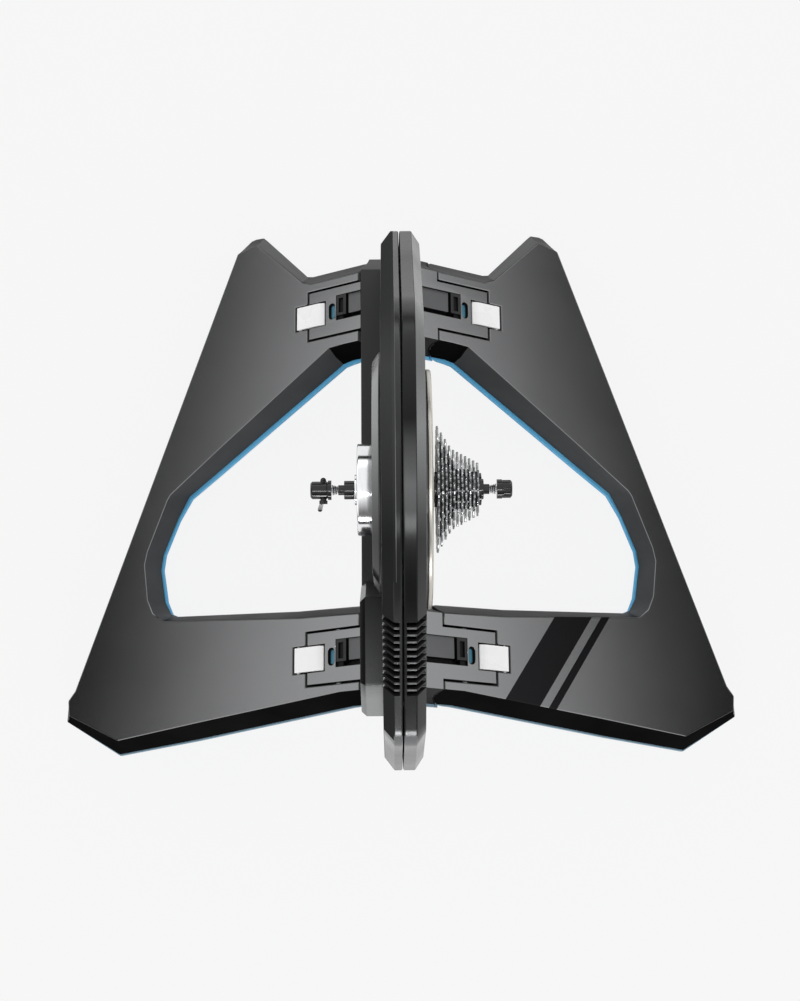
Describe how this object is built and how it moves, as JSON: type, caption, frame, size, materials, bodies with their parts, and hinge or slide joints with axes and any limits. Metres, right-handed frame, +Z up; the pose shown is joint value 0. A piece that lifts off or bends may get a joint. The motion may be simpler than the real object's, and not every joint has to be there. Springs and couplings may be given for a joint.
{
  "type": "direct drive bike trainer",
  "caption": "Floor-standing direct drive trainer with an upright motor housing, a cassette on its axle and two fold-out wings with open centres.",
  "frame": {"origin": "on the floor, in the middle of the footprint with both wings folded out", "axes": "+X to the drive side, where the cassette is; +Y forward, the way the rider faces; +Z up"},
  "size_m": [0.75, 0.5755, 0.55],
  "materials": {
    "wing": "satin black",
    "shell": "satin black",
    "frame": "satin black coating",
    "blue": "satin light blue",
    "white": "white",
    "rubber": "matt",
    "silver": "turned and polished",
    "ivory": "satin",
    "steel": "ground",
    "sprocket": "nickel plated",
    "iron": "machined",
    "copper": "enamelled wire",
    "dark_metal": "black anodised",
    "dark_plastic": "black",
    "board": "green lacquer"
  },
  "bodies": {
    "base": {"main_frame": "frame", "housing_right": "shell", "housing_left": "shell", "motor_plate": "frame", "electronics_cover": "shell", "circuit_board": "board", "power_inlet": "dark_plastic", "hinge_arm_front_right": "frame", "hinge_arm_rear_right": "frame", "hinge_arm_front_left": "frame", "hinge_arm_rear_left": "frame", "hinge_pin_front_right": "steel", "hinge_pin_rear_right": "steel", "hinge_pin_front_left": "steel", "hinge_pin_rear_left": "steel", "axle": "steel", "end_adapter_left": "dark_metal", "end_adapter_right": "dark_metal", "hub_cap": "silver", "hub_cap_disc": "silver", "stator_carrier": "silver", "stator_core": "iron", "stator_windings": "copper"},
    "right_wing": {"wing_right": "wing", "wing_underplate_right": "blue", "foot_tip_right": "rubber", "foot_corner_right": "rubber"},
    "left_wing": {"wing_left": "wing", "wing_underplate_left": "blue", "foot_tip_left": "rubber", "foot_corner_left": "rubber"},
    "lever_front_right": {"latch_lever_front_right": "white"},
    "lever_rear_right": {"latch_lever_rear_right": "white"},
    "lever_front_left": {"latch_lever_front_left": "white"},
    "lever_rear_left": {"latch_lever_rear_left": "white"},
    "rotor": {"rotor_cup": "iron", "rotor_magnets": "iron", "rotor_disc": "ivory", "bearing_left": "steel", "bearing_right": "steel"},
    "cassette": {"freehub_body": "steel", "freehub_bearing": "steel", "sprocket_group_large": "sprocket", "sprocket_group_middle": "sprocket", "sprocket_16": "sprocket", "sprocket_15": "sprocket", "sprocket_14": "sprocket", "sprocket_13": "sprocket", "sprocket_12": "sprocket", "sprocket_11": "sprocket", "lockring": "dark_metal"},
    "skewer": {"skewer_rod": "steel", "cam_housing": "dark_metal", "spring_left": "steel"},
    "cam": {"cam_lever": "dark_metal"},
    "nut_spring": {"spring_right": "steel"},
    "nut": {"skewer_nut": "dark_metal"}
  },
  "joints": [
    {"name": "right_wing_fold", "type": "hinge", "parent": "base", "child": "right_wing", "pos_m": [0.062, 0, 0.17466], "axis": [0, -0.963, 0.2696], "range_deg": [0, 106]},
    {"name": "left_wing_fold", "type": "hinge", "parent": "base", "child": "left_wing", "pos_m": [-0.062, 0, 0.17466], "axis": [0, 0.963, -0.2696], "range_deg": [0, 106]},
    {"name": "lever_front_right_lift", "type": "hinge", "parent": "right_wing", "child": "lever_front_right", "pos_m": [0.1046, 0.18477, 0.10486], "axis": [0, 0.963, -0.2696], "range_deg": [0, 20], "stiffness_Nm_per_rad": 0.15, "springref_deg": -11.46},
    {"name": "lever_rear_right_lift", "type": "hinge", "parent": "right_wing", "child": "lever_rear_right", "pos_m": [0.1046, -0.17254, 0.20491], "axis": [0, 0.963, -0.2696], "range_deg": [0, 20], "stiffness_Nm_per_rad": 0.15, "springref_deg": -11.46},
    {"name": "lever_front_left_lift", "type": "hinge", "parent": "left_wing", "child": "lever_front_left", "pos_m": [-0.1046, 0.18477, 0.10486], "axis": [0, -0.963, 0.2696], "range_deg": [0, 20], "stiffness_Nm_per_rad": 0.15, "springref_deg": -11.46},
    {"name": "lever_rear_left_lift", "type": "hinge", "parent": "left_wing", "child": "lever_rear_left", "pos_m": [-0.1046, -0.17254, 0.20491], "axis": [0, -0.963, 0.2696], "range_deg": [0, 20], "stiffness_Nm_per_rad": 0.15, "springref_deg": -11.46},
    {"name": "rotor_spin", "type": "hinge", "parent": "base", "child": "rotor", "pos_m": [0, 0, 0.345], "axis": [1, 0, 0], "continuous": true},
    {"name": "cassette_spin", "type": "hinge", "parent": "rotor", "child": "cassette", "pos_m": [0, 0, 0.345], "axis": [1, 0, 0], "continuous": true},
    {"name": "skewer_turn", "type": "hinge", "parent": "base", "child": "skewer", "pos_m": [0, 0, 0.345], "axis": [1, 0, 0], "continuous": true},
    {"name": "cam_lever_turn", "type": "hinge", "parent": "skewer", "child": "cam", "pos_m": [-0.0726, 0, 0.345], "axis": [0, 1, 0], "range_deg": [0, 180]},
    {"name": "nut_travel", "type": "slide", "parent": "skewer", "child": "nut_spring", "axis": [1, 0, 0], "range_m": [0, 0.004]},
    {"name": "nut_turn", "type": "hinge", "parent": "nut_spring", "child": "nut", "pos_m": [0.09, 0, 0.345], "axis": [1, 0, 0], "range_deg": [0, 1800]}
  ],
  "couplings": [
    {"joint": "nut_turn", "follows": "nut_travel", "rad_per_m": 7854}
  ]
}
